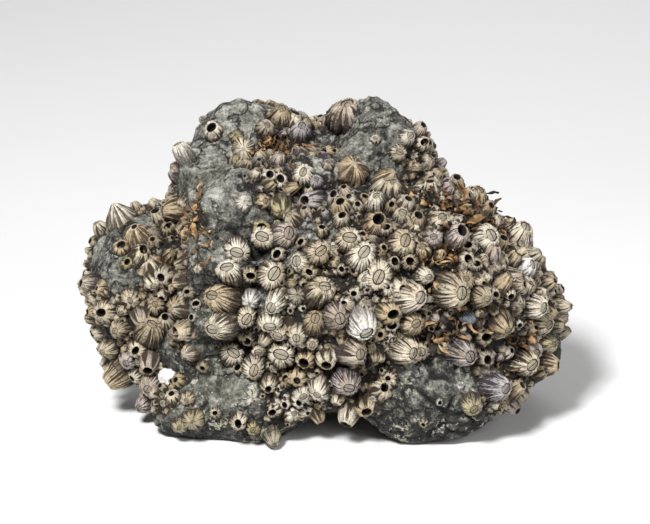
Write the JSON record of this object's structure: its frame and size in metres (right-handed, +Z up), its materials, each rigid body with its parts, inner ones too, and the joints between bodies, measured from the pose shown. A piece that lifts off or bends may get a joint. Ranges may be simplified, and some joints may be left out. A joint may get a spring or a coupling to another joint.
{
  "type": "barnacle cluster",
  "caption": "A knobbly beach stone crusted with acorn barnacles, ribbed limpets and wisps of dried weed, resting on the flat spots of its underside",
  "frame": {"origin": "the middle of the whole piece's box, at the height of the flat spots the stone rests on", "axes": "+X to the right along the long side, -Y out of the front, +Z up"},
  "size_m": [0.241, 0.1524, 0.1484],
  "materials": {
    "stone": "matte",
    "barnacle_shell": "matte",
    "limpet_shell": "matte",
    "shell_chip": "matte",
    "mussel": "satin",
    "dried_weed": "matte"
  },
  "bodies": {
    "root": {"stone": "stone", "barnacle_01": "barnacle_shell", "barnacle_02": "barnacle_shell", "barnacle_03": "barnacle_shell", "barnacle_04": "barnacle_shell", "barnacle_05": "barnacle_shell", "barnacle_06": "barnacle_shell", "barnacle_07": "barnacle_shell", "barnacle_08": "barnacle_shell", "barnacle_09": "barnacle_shell", "barnacle_10": "barnacle_shell", "barnacle_11": "barnacle_shell", "barnacle_12": "barnacle_shell", "barnacle_13": "barnacle_shell", "barnacle_14": "barnacle_shell", "barnacle_15": "barnacle_shell", "barnacle_16": "barnacle_shell", "barnacle_17": "barnacle_shell", "barnacle_18": "barnacle_shell", "barnacle_19": "barnacle_shell", "barnacle_20": "barnacle_shell", "barnacle_21": "barnacle_shell", "barnacle_22": "barnacle_shell", "barnacle_23": "barnacle_shell", "barnacle_24": "barnacle_shell", "barnacle_25": "barnacle_shell", "barnacle_26": "barnacle_shell", "barnacle_27": "barnacle_shell", "barnacle_28": "barnacle_shell", "barnacle_29": "barnacle_shell", "barnacle_30": "barnacle_shell", "barnacle_31": "barnacle_shell", "barnacle_32": "barnacle_shell", "barnacle_33": "barnacle_shell", "barnacle_34": "barnacle_shell", "barnacle_35": "barnacle_shell", "barnacle_36": "barnacle_shell", "barnacle_37": "barnacle_shell", "barnacle_38": "barnacle_shell", "barnacle_39": "barnacle_shell", "barnacle_40": "barnacle_shell", "limpet_on_left_shoulder": "limpet_shell", "keyhole_limpet": "limpet_shell", "limpet_under_crest_left": "limpet_shell", "limpet_under_crest_right": "limpet_shell", "pink_limpet": "limpet_shell", "tan_limpet": "limpet_shell", "white_shell_chip": "shell_chip", "bright_shell_chip": "shell_chip", "blue_mussel": "mussel", "weed_in_saddle": "dried_weed", "weed_on_right": "dried_weed", "weed_on_left": "dried_weed", "barnacle_bed_front_left": "barnacle_shell", "barnacle_bed_front_right": "barnacle_shell", "barnacle_bed_right_slope": "barnacle_shell", "barnacle_bed_saddle": "barnacle_shell", "barnacle_bed_left_end": "barnacle_shell", "barnacle_bed_back_left": "barnacle_shell", "barnacle_bed_back_right": "barnacle_shell"}
  },
  "joints": []
}
